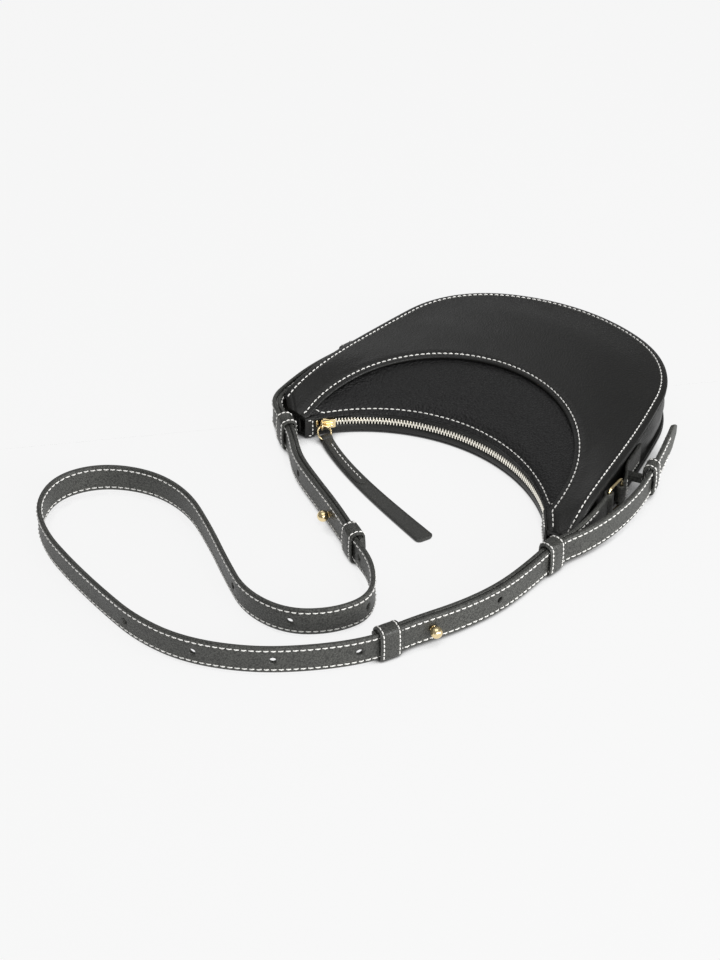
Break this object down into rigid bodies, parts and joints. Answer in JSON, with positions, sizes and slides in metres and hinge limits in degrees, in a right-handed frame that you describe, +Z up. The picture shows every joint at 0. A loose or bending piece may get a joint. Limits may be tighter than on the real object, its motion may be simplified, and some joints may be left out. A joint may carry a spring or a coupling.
{
  "type": "half moon shoulder bag",
  "caption": "Crescent leather shoulder bag lying on its back, with a curved metal zip, leather pull and an adjustable strap held by ball studs and keepers.",
  "frame": {"origin": "middle of the back panel, on the face the bag rests on", "axes": "+X from the left horn to the right horn as seen from the front, +Y from the horns to the outer arc, +Z up out of the front"},
  "size_m": [0.3019, 0.4204, 0.034],
  "materials": {
    "smooth_leather": "satin smooth black leather with pale stitching",
    "pebbled_leather": "finely pebbled black leather",
    "strap_leather": "stitched black strap leather with painted edges",
    "gold_metal": "polished pale gold plating",
    "zip_tape": "woven black zip tape",
    "lining_cloth": "dark plain woven lining"
  },
  "bodies": {
    "bag": {"front_overlay": "smooth_leather", "front_yoke": "pebbled_leather", "back_panel": "smooth_leather", "gusset": "smooth_leather", "back_lining": "lining_cloth", "front_lining": "lining_cloth", "gusset_lining": "lining_cloth", "slip_pocket": "lining_cloth", "front_zip_band": "pebbled_leather", "back_zip_band": "pebbled_leather", "front_zip_tape": "zip_tape", "back_zip_tape": "zip_tape", "front_zip_teeth": "gold_metal", "back_zip_teeth": "gold_metal", "zip_bottom_stop": "gold_metal", "zip_top_stops": "gold_metal", "right_zip_end_tab": "smooth_leather", "left_zip_end_tab": "smooth_leather", "right_chape": "strap_leather", "left_chape": "strap_leather", "right_side_ring": "gold_metal", "left_side_ring": "gold_metal", "right_bridle_root": "strap_leather", "left_bridle_root": "strap_leather", "right_strap_tail": "strap_leather", "left_strap_tail": "strap_leather", "right_horn_keeper": "strap_leather", "left_horn_keeper": "strap_leather", "right_tail_keeper": "strap_leather", "left_tail_keeper": "strap_leather"},
    "strap": {"long_strap": "strap_leather", "right_bridle_end": "strap_leather", "left_bridle_end": "strap_leather", "right_end_keeper": "strap_leather", "left_end_keeper": "strap_leather", "right_stud": "gold_metal", "left_stud": "gold_metal", "right_stud_screw": "gold_metal", "left_stud_screw": "gold_metal"},
    "slider": {"zip_slider": "gold_metal", "slider_bail": "gold_metal"},
    "pull_ring": {"pull_ring": "gold_metal"},
    "pull_tab": {"pull_tab": "strap_leather"}
  },
  "joints": [
    {"name": "strap_swing", "type": "hinge", "parent": "bag", "child": "strap", "pos_m": [0, -0.163, 0.0106], "axis": [-1, 0, 0], "range_deg": [0, 90]},
    {"name": "zip_travel", "type": "hinge", "parent": "bag", "child": "slider", "pos_m": [0, -0.184, 0.009], "axis": [0, 0, -1], "range_deg": [0, 93.2]},
    {"name": "ring_swing", "type": "hinge", "parent": "slider", "child": "pull_ring", "pos_m": [-0.08189, -0.11267, 0.009], "axis": [-0.4128, -0.9108, 0], "range_deg": [0, 70]},
    {"name": "tab_lift", "type": "hinge", "parent": "pull_ring", "child": "pull_tab", "pos_m": [-0.07566, -0.11549, 0.00284], "axis": [-0.4128, -0.9108, 0], "range_deg": [0, 14]}
  ],
  "couplings": [
    {"joint": "tab_lift", "follows": "zip_travel", "ratio": 0.15021}
  ]
}
